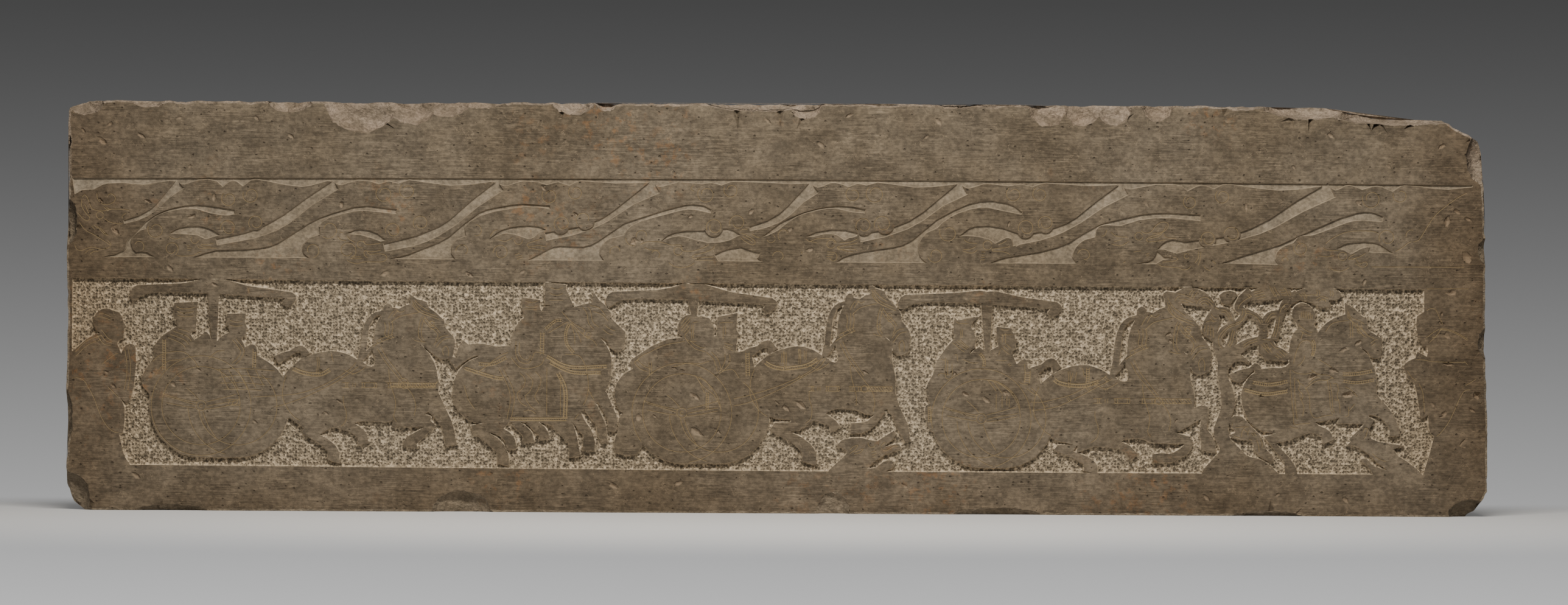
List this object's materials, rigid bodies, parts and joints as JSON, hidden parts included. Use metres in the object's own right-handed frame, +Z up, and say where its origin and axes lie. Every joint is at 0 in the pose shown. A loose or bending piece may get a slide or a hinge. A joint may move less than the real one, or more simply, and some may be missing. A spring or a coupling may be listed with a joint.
{
  "type": "stone relief panel",
  "caption": "Long stone slab carved in flat relief with chariots, riders, a tree and running beasts under a band of cloud scrolls. It stands on its flat underside.",
  "frame": {"origin": "under the middle of the slab, on its underside", "axes": "+X along the slab to the right as the carved face is looked at, +Z up, the carved face looks along -Y"},
  "size_m": [2.4001, 0.18, 0.692],
  "materials": {
    "stone": "dressed matt face, pecked ground, fresher stone in the breaks"
  },
  "bodies": {
    "root": {"relief_slab": "stone"}
  },
  "joints": []
}
